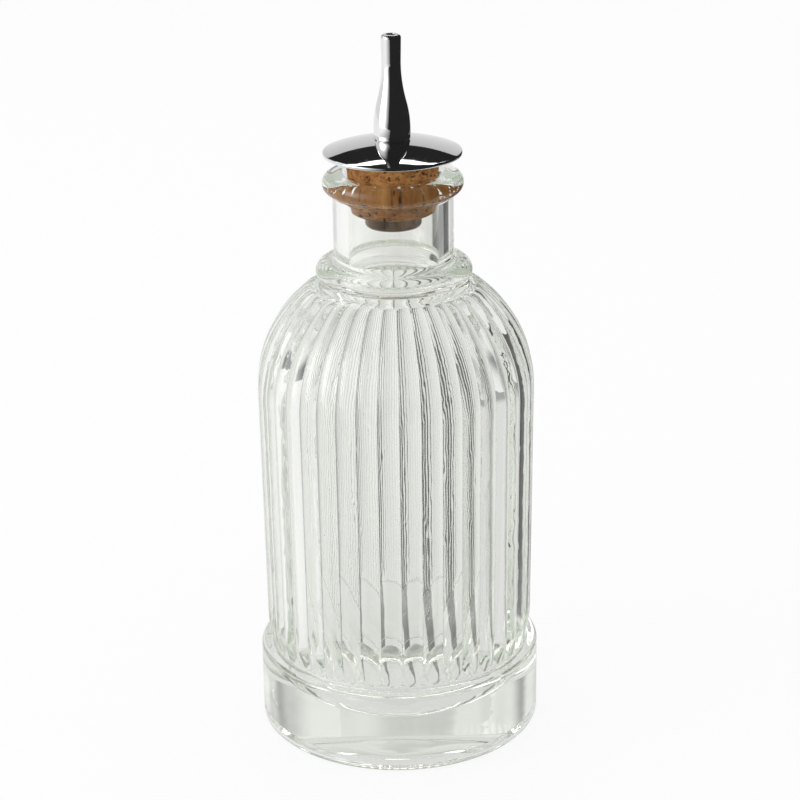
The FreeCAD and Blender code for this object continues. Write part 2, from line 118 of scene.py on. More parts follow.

# Paper: its own colour, the height from which it counts as upright, and the painted shade in cloudy patches
# on the upright part.
PAPER_COLOUR = (0.92, 0.92, 0.92, 1.0)
UPRIGHT_START = 10 * MM
CLOUD_SCALE, CLOUD_TWIST, CLOUD_RANGE = 3.0, 0.5, (0.35, 0.6)

# Surroundings: sideways directions between which they dim in reflections, scale and range of the patches seen
# through glass, and directions towards the back between which the patches set in beside the paper.
ROOM_SIDE = (-0.8, -0.35)
PATCH_SCALE, PATCH_RANGE = 2.6, (0.32, 0.6)
PATCH_SIDE = (0.75, 0.5)

# Lamps: place and size of each in metres, and the point they face.
LAMP_TARGET = (0.0, 0.0, 0.09)
KEY_PLACE, KEY_SIZE = (-0.66, -0.46, 0.32), (1.15, 0.95)
TOP_PLACE, TOP_SIZE = (0.0, 0.68, 0.93), (1.5, 0.1)
# Fall of a lamp's light along it, share over which its bright end is soft, and half of its fully lit width.
LAMP_FALL, LAMP_END, LAMP_CORE = 3.0, 0.35, 0.1

SENSOR_WIDTH = 36.0
CLIP_START = 10 * MM


def number(name, description, default, subtype="NONE", unit="NONE", precision=4):
    """Number that a user may change."""
    return FloatProperty(
        name=name, description=description, default=default, subtype=subtype, unit=unit, precision=precision
    )


def length(name, description, millimetres):
    """Size that a user may change, given in millimetres."""
    return number(name, description, millimetres * MM, "DISTANCE", "LENGTH", 5)


def angle(name, description, degrees):
    """Angle that a user may change, given in degrees."""
    return number(name, description, math.radians(degrees), "ANGLE", "ROTATION", 2)


def fraction(name, description, default):
    """Share of a whole that a user may change."""
    return number(name, description, default, "FACTOR")


def watts(name, description, default):
    """Lamp power that a user may change."""
    return number(name, description, default, "POWER", "POWER")


def colour(name, description, default):
    """Linear colour that a user may change."""
    return FloatVectorProperty(
        name=name, description=description, default=default, size=3, subtype="COLOR", min=0.0, max=1.0
    )


class BottleSettings(PropertyGroup):
    """Sizes and finish of the glass."""

    body_radius: length("Body Radius", "Valleys between the ribs, where the shoulder starts", 32.9)
    body_taper: length("Body Taper", "How much smaller that radius is at the foot of the body", 0.7)
    body_length: length("Body Length", "Height from the ledge to the start of the shoulder", 68.0)
    plinth_height: length("Plinth Height", "Height of the ledge on which the ribs stand", 21.0)
    ledge_width: length("Ledge Width", "Width of the ledge outside the valleys", 2.8)
    foot_round: length("Foot Round", "Rounding of the bottom edge", 2.2)
    ledge_round: length("Ledge Round", "Rounding of the outer edge of the ledge", 1.2)
    ledge_fillet: length("Ledge Fillet", "Fillet between the ledge and the body", 0.8)
    foot_ring: length("Foot Ring", "Width of the ring on which the bottle stands", 6.5)
    punt_depth: length("Punt Depth", "Depth of the recess inside that ring", 1.2)
    shoulder_bend: length("Shoulder Bend", "Radius of the shoulder's arc", 31.4)
    bead_step: length("Bead Step", "Step from the end of the shoulder to the bead", 0.6)
    bead_lift: length("Bead Lift", "Height from the end of the shoulder to the bead's widest line", 3.1)
    bead_round: length("Bead Round", "Radius of the bead's section", 2.5)
    bead_sweep: angle("Bead Sweep", "Part of the bead's section below its widest line", 55.0)
    bead_flat: length("Bead Flat", "Flat ring on top of the bead", 0.25)
    neck_wall: length("Neck Wall", "Glass of the neck", 3.55)
    neck_fillet: length("Neck Fillet", "Fillet between the bead and the neck", 1.7)
    neck_length: length("Neck Length", "Height from the top of the bead to the top of the lip", 21.6)
    lip_flat: length("Lip Flat", "Flat ring on top of the lip", 1.75)
    lip_round: length("Lip Round", "Radius of the lip's half-round section", 2.45)
    lip_fillet: length("Lip Fillet", "Fillet between the neck and the lip", 0.9)
    mouth_radius: length("Mouth Radius", "Bore of the neck", 10.9)
    mouth_round: length("Mouth Round", "Rounding of the mouth's inner edge", 1.8)
    throat_round: length("Throat Round", "Rounding where the bore opens into the shoulder", 4.0)
    glass_wall: length("Glass Wall", "Glass between the valleys and the inside", 3.7)
    floor_glass: length("Floor Glass", "Glass between the recess below and the inside", 5.8)
    bowl_flat: length("Bowl Flat", "Radius of the flat middle of the inner floor", 5.5)
    rib_count: IntProperty(name="Ribs", description="Ribs round the bottle", default=40, min=3)
    rib_height: length("Rib Height", "Rise of a rib above its valleys at the shoulder", 0.9)
    rib_ground: length("Rib Ground", "Depth of the smooth glass below the valleys", 0.3)
    rib_sink: length("Rib Sink", "Depth of a rib's crest below that glass at its end", 0.2)
    rib_blend: length("Rib Blend", "Softness of the line where a rib meets the smooth glass", 0.1)
    rib_foot_runout: length("Rib Foot Run-out", "Length over which the lower end of a rib rises", 8.0)
    rib_runout: length("Rib Run-out", "Length over which the upper end of a rib sinks", 2.8)
    rib_margin: angle("Rib Margin", "Part of the shoulder left smooth above the ribs", 2.0)
    rib_turn: angle("Rib Turn", "Angle from the right-hand side to the nearest rib", 5.7)
    wave_depth: length("Wave Depth", "Unevenness of the inside of the glass", 0.25)
    wave_size: length("Wave Size", "Width of one wave of that unevenness", 17.0)
    streak_depth: length("Streak Depth", "Depth of the streaks that the mould leaves between the ribs", 0.055)
    streak_low: length("Streak Low", "Height at which those streaks begin", 21.0)
    streak_high: length("Streak High", "Height at which they end", 115.0)
    streak_fade: length("Streak Fade", "Length over which they fade at both ends", 5.0)
    tint: colour("Tint", "Colour that thick glass takes", (0.80, 0.86, 0.76))
    tint_depth: number("Tint Depth", "How quickly glass takes that colour, per metre", 8.0)


class StopperSettings(PropertyGroup):
    """Sizes and finish of the stopper's pieces."""

    stem_gap: length("Stem Gap", "Clearance round the stem tube", 0.03)
    stem_wall: length("Stem Wall", "Wall of the stem tube", 0.7)
    cork_nose: length("Cork Nose", "How much smaller the cork's radius is at its end than at its seat", 0.87)
    cork_seat: length("Cork Seat", "Length of the straight part that seats in the mouth", 3.5)
    cork_head: length("Cork Head", "Height of the part that widens above the seat", 6.1)
    cork_slope: number("Cork Slope", "Widening of the cork above its seat, radius per length", 0.115)
    cork_press: length("Cork Press", "How far the seat swells against the glass", 0.25)
    cork_band: length("Cork Band", "Smooth top part of the seat", 1.6)
    cork_chamfer: length("Cork Chamfer", "Broken lower edge of the cork", 0.7)
    pit_depth: length("Pit Depth", "Depth of the pits in the cork", 0.45)
    pit_size: length("Pit Size", "Width of the pits in the cork", 1.1)
    flange_rim: length("Flange Rim", "Thickness of the flange's rim", 0.85)
    flange_edge: length("Flange Edge", "Rounding of the flange's rim", 0.35)
    seat_margin: length("Seat Margin", "Width of the flange's seat outside the spout", 0.4)
    belly_rise: length("Belly Rise", "Height of the spout's widest part above its seat", 2.4)
    belly_bend: length("Belly Bend", "Radius of the belly's arc", 26.0)
    waist_radius: length("Waist Radius", "Narrowest part of the spout", 2.28)
    waist_rise: length("Waist Rise", "Height of that part above the seat", 18.3)
    tip_flat: length("Tip Flat", "Flat ring round the dash hole", 0.45)
    tip_round: length("Tip Round", "Rounding of the tip", 0.8)
    dash_radius: length("Dash Radius", "Dash hole", 1.15)
    dash_length: length("Dash Length", "Straight length of the dash hole", 8.0)
    channel_length: length("Channel Length", "Straight length of the channel above the stem", 4.0)
    nut_round: length("Nut Round", "Rounding of the nut's lower edge", 1.2)
    nut_chamfer: length("Nut Chamfer", "Chamfer of the nut's upper edge", 0.3)
    cork_light: colour("Light Cork", "Light parts of the cork", (0.60, 0.30, 0.10))
    cork_dark: colour("Dark Cork", "Grain of the cork", (0.35, 0.14, 0.04))
    pit_colour: colour("Pit Colour", "Bottom of the pits", (0.09, 0.035, 0.014))
    chrome_colour: colour("Chrome", "Polished metal", (0.83, 0.83, 0.84))
    nut_colour: colour("Nut", "Darker polished metal of the nut", (0.12, 0.08, 0.052))
    steel_colour: colour("Steel", "Stem tube", (0.52, 0.52, 0.53))


class StageSettings(PropertyGroup):
    """Camera, sweep and lamps."""

    camera_distance: length("Camera Distance", "Level distance from the bottle's axis", 540.0)
    camera_height: length("Camera Height", "Height above the floor", 288.1)
    camera_side: length("Camera Side", "Sideways offset of the camera", 0.98)
    camera_pitch: angle("Camera Pitch", "Downward tilt", 20.67)
    camera_roll: angle("Camera Roll", "Turn about the line of sight", -0.8)
    camera_lens: number("Lens", "Focal length on a sensor 36 mm wide", 105.7, "DISTANCE_CAMERA", "CAMERA")
    sweep_left: length("Sweep Left", "Reach of the white sweep to the left", 1600.0)
    sweep_right: length("Sweep Right", "Reach of the white sweep to the right", 420.0)
    sweep_front: length("Sweep Front", "Reach of the white sweep towards the viewer at its left", 800.0)
    sweep_corner: length("Sweep Corner", "Reach of its front part to the right", -145.0)
    # Painted shade: the front part darkens towards its right-hand end, in metal and glass only.
    corner_fade: length("Corner Fade", "Width over which metal and glass show that part darkening", 450.0)
    corner_dim: fraction("Corner Dim", "Share of its white left at that end", 0.12)
    sweep_notch: length("Sweep Notch", "Reach of the rest of it towards the viewer", 70.0)
    sweep_back: length("Sweep Back", "Reach of the white sweep behind the bottle", 1250.0)
    sweep_rise: length("Sweep Rise", "Height of the sweep behind the bottle", 780.0)
    sweep_bend: length("Sweep Bend", "Radius of the bend between floor and backdrop", 350.0)
    # The paper glows; from Bright Side to Paper Dark the settings are its painted light and painted shade,
    # which only metal and glass show.
    sweep_glow: fraction("Sweep Glow", "Share of the sweep's own white in its look", 0.9)
    bright_side: length("Bright Side", "Distance to the left from which they show the paper whitest", 110.0)
    shade_start: angle("Shade Start", "Direction from straight back at which they show it darkened", 19.5)
    shade_end: angle("Shade End", "Direction at which it is plain again", 44.0)
    shade_spread: angle("Shade Spread", "How much wider the darkening is far behind the bottle", 40.0)
    spread_start: length("Spread Start", "Distance from the axis at which it starts to widen", 280.0)
    spread_end: length("Spread End", "Distance from which it is widest", 340.0)
    spread_share: fraction("Spread Share", "Share of the darkening in that wider part", 0.55)
    shade_edge: angle("Shade Edge", "Softness of both limits", 3.0)
    shade_near: length("Shade Near", "Distance from the axis within which it darkens least", 60.0)
    shade_far: length("Shade Far", "Distance from which it darkens fully", 120.0)
    shade_least: fraction("Shade Least", "Share of the darkening close to the bottle", 0.75)
    paper_white: fraction("Paper White", "Whitest paper, as metal and glass show it", 0.97)
    paper_plain: fraction("Paper Plain", "Paper on the floor, as metal and glass show it", 0.76)
    paper_back: fraction("Paper Back", "Upright paper, as metal and glass show it", 0.84)
    # Painted shade: cloudy patches on the upright paper, seen only through glass, and its painted darker top
    # in metal.
    back_clouds: fraction("Back Clouds", "Unevenness of the upright paper seen through glass", 0.25)
    back_top: fraction("Back Top", "Share of its white left at the top of the upright paper in metal", 0.65)
    paper_dark: fraction("Paper Dark", "Darkened paper, as metal and glass show it", 0.0)
    key_power: watts("Key Power", "Watts of the softbox at the left", 40.0)
    key_dim: fraction("Key Dim", "Share of the softbox's light at its end towards the viewer", 0.02)
    top_power: watts("Top Power", "Watts of the strip above and behind", 2.6)
    fill_strength: number("Fill", "Brightness of the surroundings for soft fill", 0.75)
    room_strength: number("Room", "Brightness of the surroundings in reflections", 0.02)
    room_left: number("Room Left", "Brightness of their left-hand side in reflections", 0.8)
    room_patches: fraction("Room Patches", "Unevenness of the surroundings seen through glass", 0.75)
    low_strength: number("Low Through", "Brightness of the low surroundings seen through glass", 0.9)
    high_strength: number("High Through", "Brightness of the high surroundings seen through glass", 0.75)
    low_end: number("Low End", "Upward direction at which the surroundings start to darken", 0.45)
    high_start: number("High Start", "Upward direction from which they are darkest", 0.65)


class Outline:
    """Outline of a turned piece in a plane through its axis, walked with the material on the left."""

    def __init__(self, radius, height):
        self.points = [Vector((radius, height))]
        self.ribs = [0.0]
        self.waves = [0.0]

    def add(self, radius, height, rib=0.0, wave=0.0):
        """One more row, with its share of the ribs' height and of the waves' or pits' depth."""
        self.points.append(Vector((radius, height)))
        self.ribs.append(rib)
        self.waves.append(wave)

    def line(self, radius, height, rows=1, rib=0.0, wave=0.0):
        """Straight stretch; a row close to each end keeps its shading flat."""
        start, end = self.points[-1], Vector((radius, height))
        guard = min(GUARD / (end - start).length, MOST_GUARD)
        inner = [guard + (1.0 - 2.0 * guard) * row / rows for row in range(rows + 1)]
        for share in inner + [1.0]:
            self.add(*start.lerp(end, share), rib, wave)

    def lines(self, *ends):
        """Plain straight stretches one after the other, each given by its end."""
        for radius, height in ends:
            self.line(radius, height)

    def arc(self, radius, height, bend, side, step=ARC_STEP, wave=0.0):
        """Round stretch of under half a circle, with its centre on the ROUND or the HOLLOW side."""
        start, end = self.points[-1].copy(), Vector((radius, height))
        along = end - start
        inwards = Vector((-along.y, along.x)).normalized() * side
        centre = (start + end) / 2 + inwards * math.sqrt(max(bend**2 - along.length_squared / 4, 0.0))
        first = math.atan2(start.y - centre.y, start.x - centre.x)
        sweep = 2.0 * math.asin(min(along.length / 2 / bend, 1.0)) * side
        rows = max(2, math.ceil(abs(sweep) / step))
        for row in range(1, rows):
            turn = first + sweep * row / rows
            self.add(centre.x + bend * math.cos(turn), centre.y + bend * math.sin(turn), wave=wave)
        self.add(radius, height, wave=wave)

    def close(self):
        """Straight stretch back to the start, for a piece with a hole along its axis."""
        self.line(*self.points[0])

    def mesh(self, name):
        """The outline as a row of points with their outward normals and shares."""
        mesh = bpy.data.meshes.new(name)
        last = len(self.points) - 1
        edges = [(row, row + 1) for row in range(last)]
        mesh.from_pydata([(point.x, 0.0, point.y) for point in self.points], edges, [])
        normals = []
        for row in range(last + 1):
            along = (self.points[min(row + 1, last)] - self.points[max(row - 1, 0)]).normalized()
            normals += (along.y, 0.0, -along.x)
        mesh.attributes.new("outline_normal", "FLOAT_VECTOR", "POINT").data.foreach_set("vector", normals)
        mesh.attributes.new("rib_share", "FLOAT", "POINT").data.foreach_set("value", self.ribs)
        mesh.attributes.new("wave_share", "FLOAT", "POINT").data.foreach_set("value", self.waves)
        return mesh


class Nodes:
    """Shorthand for building a node tree."""

    def __init__(self, tree):
        self.tree = tree

    def add(self, kind, inputs=None, **settings):
        """New node with its settings made and its inputs fed."""
        node = self.tree.nodes.new(kind)
        for name, value in settings.items():
            setattr(node, name, value)
        for key, value in (inputs or {}).items():
            self.feed(node.inputs[key], value)
        return node

    def feed(self, socket, value):
        """Link or set one input."""
        if isinstance(value, NodeSocket):
            self.tree.links.new(value, socket)
        else:
            socket.default_value = value

    def math(self, operation, *values):
        """Output of a Math node."""
        return self.add("ShaderNodeMath", dict(enumerate(values)), operation=operation).outputs[0]

    def plus(self, first, second):
        """Sum."""
        return self.math("ADD", first, second)

    def minus(self, first, second):
        """Difference."""
        return self.math("SUBTRACT", first, second)

    def times(self, first, second):
        """Product."""
        return self.math("MULTIPLY", first, second)

    def over(self, first, second):
        """Quotient."""
        return self.math("DIVIDE", first, second)

    def squared(self, value):
        """Second power."""
        return self.math("POWER", value, 2.0)

    def scaled(self, value, start, end, low=0.0, high=1.0, smooth=False):
        """Value carried from one range to another and held at the ends."""
        return self.add("ShaderNodeMapRange", {
            "Value": value, "From Min": start, "From Max": end, "To Min": low, "To Max": high,
        }, interpolation_type="SMOOTHSTEP" if smooth else "LINEAR").outputs[0]

    def blend(self, share, first, second):
        """Number between two others."""
        return self.add("ShaderNodeMix", {"Factor": share, "A": first, "B": second}).outputs[0]

    def noise(self, place, scale, detail=1.0, **more):
        """Noise between 0 and 1 at a place."""
        inputs = {"Vector": place, "Scale": scale, "Detail": detail, **more}
        return self.add("ShaderNodeTexNoise", inputs).outputs[0]

    def split(self, vector):
        """The three outputs of a vector."""
        return self.add("ShaderNodeSeparateXYZ", {0: vector}).outputs

    def around(self, turn, radius, height):
        """Place at an angle, radius and height."""
        return self.add("ShaderNodeCombineXYZ", {
            "X": self.times(radius, self.math("COSINE", turn)),
            "Y": self.times(radius, self.math("SINE", turn)),
            "Z": height,
        }).outputs[0]

    def stretched(self, place, scale):
        """Place in a pattern that is drawn out or pressed together along its axes."""
        return self.add("ShaderNodeMapping", {"Vector": place, "Scale": scale}).outputs[0]

    def bump(self, height, distance, strength=1.0, **more):
        """Normal of a surface that a height between 0 and 1 raises by a distance."""
        inputs = {"Strength": strength, "Distance": distance, "Height": height, **more}
        return self.add("ShaderNodeBump", inputs).outputs[0]

    def ramp(self, factor, places, shades):
        """Colour ramp between two colours."""
        node = self.add("ShaderNodeValToRGB", {"Fac": factor})
        for element, place, shade in zip(node.color_ramp.elements, places, shades):
            element.position = place
            element.color = (*shade, 1.0)
        return node.outputs["Color"]

    def mix(self, factor, first, second, kind="MIX"):
        """Mix of two colours."""
        colours = {"Factor": factor, 6: first, 7: second}
        return self.add("ShaderNodeMix", colours, data_type="RGBA", blend_type=kind).outputs[2]


def new_group(name, kind, inputs, outputs):
    """Node group with named inputs and outputs: the group, its nodes and what it is given."""
    group = bpy.data.node_groups.new(name, kind)
    for way, sockets in (("INPUT", inputs), ("OUTPUT", outputs)):
        for label, socket in sockets.items():
            group.interface.new_socket(label, in_out=way, socket_type="NodeSocket" + socket)
    nodes = Nodes(group)
    return group, nodes, nodes.add("NodeGroupInput").outputs


def turned_tree(name, sizes, shape):
    """Geometry tree that turns an outline about the vertical axis.

    sizes holds the tree's own inputs. shape gets the nodes, what the tree is given, the column's number and
    the row's radius, height and shares. It gives the number of columns, the column's angle and how far the
    surface stands out along the outline's normal.
    """
    kinds = {label: "Int" if isinstance(size, int) else "Float" for label, size in sizes.items()}
    inputs = {"Outline": "Geometry", **kinds, "Material": "Material"}
    tree, nodes, given = new_group(name, "GeometryNodeTree", inputs, {"Mesh": "Geometry"})
    outline = given["Outline"]
    count = nodes.add("GeometryNodeAttributeDomainSize", {"Geometry": outline}, component="MESH")
    rows = count.outputs["Point Count"]
    grid = nodes.add("GeometryNodeMeshGrid", {"Size X": 1.0, "Size Y": 1.0, "Vertices Y": rows})
    index = nodes.add("GeometryNodeInputIndex").outputs[0]
    row = nodes.math("FLOORED_MODULO", index, rows)
    column = nodes.math("FLOOR", nodes.over(nodes.plus(index, 0.5), rows))

    def sampled(value, kind):
        """Value at the outline's row."""
        inputs = {"Geometry": outline, "Value": value, "Index": row}
        node = nodes.add("GeometryNodeSampleIndex", inputs, data_type=kind, domain="POINT")
        return node.outputs["Value"]

    def named(label, kind):
        """Named attribute at the outline's row."""
        node = nodes.add("GeometryNodeInputNamedAttribute", {"Name": label}, data_type=kind)
        return sampled(node.outputs["Attribute"], kind)

    point = nodes.split(sampled(nodes.add("GeometryNodeInputPosition").outputs[0], "FLOAT_VECTOR"))
    outward = nodes.split(named("outline_normal", "FLOAT_VECTOR"))
    shares = {"rib": named("rib_share", "FLOAT"), "wave": named("wave_share", "FLOAT")}
    columns, turn, stand_out = shape(nodes, given, column, point["X"], point["Z"], shares)
    nodes.feed(grid.inputs["Vertices X"], nodes.plus(columns, 1.0))
    radius = nodes.math("MULTIPLY_ADD", outward["X"], stand_out, point["X"])
    height = nodes.math("MULTIPLY_ADD", outward["Z"], stand_out, point["Z"])
    surface = grid.outputs["Mesh"]
    for kind, inputs in (
        ("GeometryNodeSetPosition", {"Position": nodes.around(turn, radius, height)}),
        ("GeometryNodeMergeByDistance", {"Distance": MERGE_DISTANCE}),
        ("GeometryNodeSetShadeSmooth", {"Shade Smooth": True}),
        ("GeometryNodeRealizeInstances", {}),
        ("GeometryNodeSetMaterial", {"Material": given["Material"]}),
    ):
        surface = nodes.add(kind, {"Geometry": surface, **inputs}).outputs[0]
    nodes.add("NodeGroupOutput", {"Mesh": surface})
    return tree


def noise_at(nodes, turn, radius, height, size, detail=1.0):
    """Noise between 0 and 1 at a place on a turned surface."""
    return nodes.noise(nodes.around(turn, radius, height), nodes.over(1.0, size), detail)


def even_turn(nodes, given, column):
    """Angle of one of the evenly spaced columns."""
    return nodes.times(nodes.over(column, given["Columns"]), math.tau)


def plain_shape(nodes, given, column, radius, height, shares):
    """Smooth turned surface."""
    return given["Columns"], even_turn(nodes, given, column), 0.0


def pitted_shape(nodes, given, column, radius, height, shares):
    """Cork surface with pits sunk into it."""
    turn = even_turn(nodes, given, column)
    size = given["Pit Size"]
    coarse = noise_at(nodes, turn, radius, height, size, PIT_DETAIL)
    pit = nodes.scaled(coarse, PIT_EDGE, PIT_BOTTOM, 0.0, -1.0, smooth=True)
    fine = noise_at(nodes, turn, radius, height, nodes.over(size, GRAIN_FINENESS), PIT_DETAIL)
    depth = nodes.times(nodes.plus(pit, nodes.times(fine, -GRAIN_SHARE)), given["Pit Depth"])
    return given["Columns"], turn, nodes.times(depth, shares["wave"])


def reeded_shape(nodes, given, column, radius, height, shares):
    """Ribs with a round section, whose columns crowd towards the valleys, and waves on the inside."""
    plus, minus, times, over = nodes.plus, nodes.minus, nodes.times, nodes.over
    per_rib, ground = given["Columns per Rib"], given["Rib Ground"]
    pitch = over(math.tau, given["Ribs"])
    half = over(pitch, 2.0)
    rib = nodes.math("FLOOR", over(plus(column, 0.5), per_rib))
    step = minus(column, times(rib, per_rib))
    across = minus(over(times(step, 2.0), per_rib), 1.0)
    off = times(half, nodes.math("SINE", times(across, math.pi / 2)))
    turn = plus(nodes.math("MULTIPLY_ADD", rib, pitch, given["Rib Turn"]), off)
    # The arc of a rib's section, for valleys of radius 1.
    crest = plus(given["Rib Rise"], 1.0)
    sagitta = minus(crest, nodes.math("COSINE", half))
    squares = plus(nodes.squared(nodes.math("SINE", half)), nodes.squared(sagitta))
    bend = over(squares, times(sagitta, 2.0))
    centre = minus(crest, bend)
    inset = times(centre, nodes.math("SINE", off))
    reach = nodes.math("SQRT", minus(nodes.squared(bend), nodes.squared(inset)))
    section = minus(nodes.math("MULTIPLY_ADD", centre, nodes.math("COSINE", off), reach), 1.0)
    # The rib on the smooth glass, sunk where it runs out.
    valley = plus(radius, ground)
    rise = nodes.math("MULTIPLY_ADD", section, valley, ground)
    full = nodes.math("MULTIPLY_ADD", given["Rib Rise"], valley, plus(ground, given["Rib Sink"]))
    lost = times(full, minus(1.0, shares["rib"]))
    ribs = nodes.math("SMOOTH_MAX", minus(rise, lost), 0.0, given["Rib Blend"])
    waves = minus(noise_at(nodes, turn, radius, height, given["Wave Size"]), 0.5)
    wave = times(times(waves, given["Wave Depth"]), shares["wave"])
    return times(given["Ribs"], per_rib), turn, plus(ribs, wave)


def new_object(name, data):
    """Object in the scene."""
    made = bpy.data.objects.new(name, data)
    bpy.context.scene.collection.objects.link(made)
    return made


def turned_piece(name, outline, tree, sizes, material):
    """Plain mesh object made by a geometry tree from an outline."""
    piece = new_object(name, outline.mesh(name + "_outline"))
    modifier = piece.modifiers.new("Turning", "NODES")
    modifier.node_group = tree
    values = {**sizes, "Material": material}
    for item in tree.interface.items_tree:
        if item.in_out == "INPUT" and item.name in values:
            modifier[item.identifier] = values[item.name]
    evaluated = piece.evaluated_get(bpy.context.evaluated_depsgraph_get())
    mesh = bpy.data.meshes.new_from_object(evaluated)
    if not mesh.polygons:
        raise RuntimeError(f"{name} came out empty")
    mesh.name = name
    mesh.materials.clear()
    mesh.materials.append(material)
    mesh.polygons.foreach_set("material_index", [0] * len(mesh.polygons))
    piece.modifiers.clear()
    old = piece.data
    piece.data = mesh
    bpy.data.meshes.remove(old)
    return piece


def stand_for(piece, body, slot, *nodes):
    """A finished piece takes the place of its CAD nodes."""
    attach(piece, body)
    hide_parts(*nodes)


def leg(hypotenuse, other_leg):
    """Other short side of a right-angled triangle."""
    return math.sqrt(hypotenuse**2 - other_leg**2)


def runout_shares(rows, crowding):
    """Steps along a rib's run-out, closest together at its end, with the share of its height there."""
    steps = [(row / rows) ** crowding for row in range(rows + 1)]
    return [(step, math.sqrt(1.0 - (1.0 - step) ** 2)) for step in steps]


def bottle_outline(s):
    """Outline of the glass from the middle of the underside over the lip to the middle of the inner floor."""
    foot = s.body_radius - s.body_taper
    plinth = foot + s.ledge_width
    punt = plinth - s.foot_ring
    ground_foot = foot - s.rib_ground
    shoulder_height = s.plinth_height + s.body_length
    shoulder_centre = s.body_radius - s.shoulder_bend
    ground_bend = s.shoulder_bend - s.rib_ground
    neck = s.mouth_radius + s.neck_wall
    bead_centre = neck + s.neck_fillet + s.bead_flat
    bead_start = bead_centre + s.bead_round * math.cos(s.bead_sweep)
    shoulder_end = bead_start + s.bead_step
    shoulder_sweep = math.acos((shoulder_end - shoulder_centre) / ground_bend)
    shoulder_top = shoulder_height + ground_bend * math.sin(shoulder_sweep)
    bead_height = shoulder_top + s.bead_lift
    bead_top = bead_height + s.bead_round
    lip_top = bead_top + s.neck_length
    lip_height = lip_top - s.lip_round
    lip_centre = s.mouth_radius + s.mouth_round + s.lip_flat
    outline = Outline(0.0, s.punt_depth)
    outline.lines((punt - s.punt_depth, s.punt_depth), (punt, 0.0), (plinth - s.foot_round, 0.0))
    outline.arc(plinth, s.foot_round, s.foot_round, ROUND)
    outline.line(plinth, s.plinth_height - s.ledge_round)
    outline.arc(plinth - s.ledge_round, s.plinth_height, s.ledge_round, ROUND)
    outline.line(ground_foot + s.ledge_fillet, s.plinth_height)
    rib_start = s.plinth_height + s.ledge_fillet
    outline.arc(ground_foot, rib_start, s.ledge_fillet, HOLLOW)
    body_run = shoulder_height - rib_start
    for step, share in runout_shares(FOOT_RUNOUT_ROWS, FOOT_RUNOUT_CROWDING)[1:]:
        along = s.rib_foot_runout * step
        outline.add(ground_foot + s.body_taper * along / body_run, rib_start + along, share)
    outline.line(s.body_radius - s.rib_ground, shoulder_height, rib=1.0)
    rib_sweep = shoulder_sweep - s.rib_margin
    runout_sweep = s.rib_runout / s.shoulder_bend
    full_sweep = rib_sweep - runout_sweep
    rows = math.ceil(full_sweep / SHOULDER_STEP)
    leans = [(full_sweep * row / rows, 1.0) for row in range(1, rows)]
    for step, share in reversed(runout_shares(RUNOUT_ROWS, RUNOUT_CROWDING)):
        leans.append((rib_sweep - runout_sweep * step, share))
    leans.append((shoulder_sweep, 0.0))
    for lean, share in leans:
        radius = shoulder_centre + ground_bend * math.cos(lean)
        outline.add(radius, shoulder_height + ground_bend * math.sin(lean), share)
    outline.line(bead_start, bead_height - s.bead_round * math.sin(s.bead_sweep))
    outline.arc(bead_centre + s.bead_round, bead_height, s.bead_round, ROUND)
    outline.arc(bead_centre, bead_top, s.bead_round, ROUND)
    outline.add(neck + s.neck_fillet, bead_top)
    outline.arc(neck, bead_top + s.neck_fillet, s.neck_fillet, HOLLOW)
    reach = s.lip_round + s.lip_fillet
    across = neck + s.lip_fillet - lip_centre
    drop = leg(reach, across)
    share = s.lip_round / reach
    outline.line(neck, lip_height - drop)
    outline.arc(lip_centre + across * share, lip_height - drop * share, s.lip_fillet, HOLLOW)
    outline.arc(lip_centre + s.lip_round, lip_height, s.lip_round, ROUND)
    outline.arc(lip_centre, lip_top, s.lip_round, ROUND)
    outline.line(s.mouth_radius + s.mouth_round, lip_top)
    outline.arc(s.mouth_radius, lip_top - s.mouth_round, s.mouth_round, ROUND)
    bottle_inside(outline, s, foot, shoulder_height, shoulder_centre)
    return outline


def bottle_inside(outline, s, foot, shoulder_height, shoulder_centre):
    """Rest of the outline: bore, throat, shoulder, wall and bowl of the inside."""
    bend = s.shoulder_bend - s.glass_wall
    reach = bend + s.throat_round
    across = s.mouth_radius + s.throat_round - shoulder_centre
    rise = leg(reach, across)
    share = bend / reach
    wall_foot = foot - s.glass_wall
    floor = s.punt_depth + s.floor_glass
    bowl_bend = wall_foot - s.bowl_flat
    outline.line(s.mouth_radius, shoulder_height + rise)
    outline.arc(shoulder_centre + across * share, shoulder_height + rise * share, s.throat_round, HOLLOW)
    outline.arc(s.body_radius - s.glass_wall, shoulder_height, bend, HOLLOW, BOWL_STEP, SHOULDER_WAVES)
    outline.line(wall_foot, floor + bowl_bend, WALL_ROWS, wave=WALL_WAVES)
    outline.arc(s.bowl_flat, floor, bowl_bend, HOLLOW, BOWL_STEP, BOWL_WAVES)
    outline.line(0.0, floor)


def stem_bore(s):
    """Radius of the bores that the stem tube runs through."""
    return STEM_HIGH.x + s.stem_gap


def cork_outline(s):
    """Outline of the cork, from its bore round to its bore."""
    bore = stem_bore(s)
    upper = CORK_HIGH.x
    seat = upper - s.cork_head * s.cork_slope
    lower = seat - s.cork_nose
    seat_top = CORK_HIGH.z - s.cork_head
    seat_low = seat_top - s.cork_seat
    pressed = seat + s.cork_press
    nose_share = s.cork_chamfer / (seat_low - CORK_LOW.z)
    outline = Outline(bore, CORK_LOW.z)
    # Each stretch has its end, its number of rows and its share of the pits' depth.
    for radius, height, rows, pits in (
        (lower - s.cork_chamfer, CORK_LOW.z, 16, 1.0),
        (lower + s.cork_nose * nose_share, CORK_LOW.z + s.cork_chamfer, 3, 1.0),
        (seat, seat_low, 12, 1.0),
        (pressed, seat_low + s.cork_press, 1, SEAT_PITS),
        (pressed, seat_top - s.cork_band, 10, SEAT_PITS),
        (pressed, seat_top - s.cork_press, 4, 0.0),
        (seat, seat_top, 1, 0.0),
        (upper, CORK_HIGH.z, 26, 1.0),
        (bore, CORK_HIGH.z, 1, 0.0),
    ):
        outline.line(radius, height, rows, wave=pits)
    outline.close()
    return outline


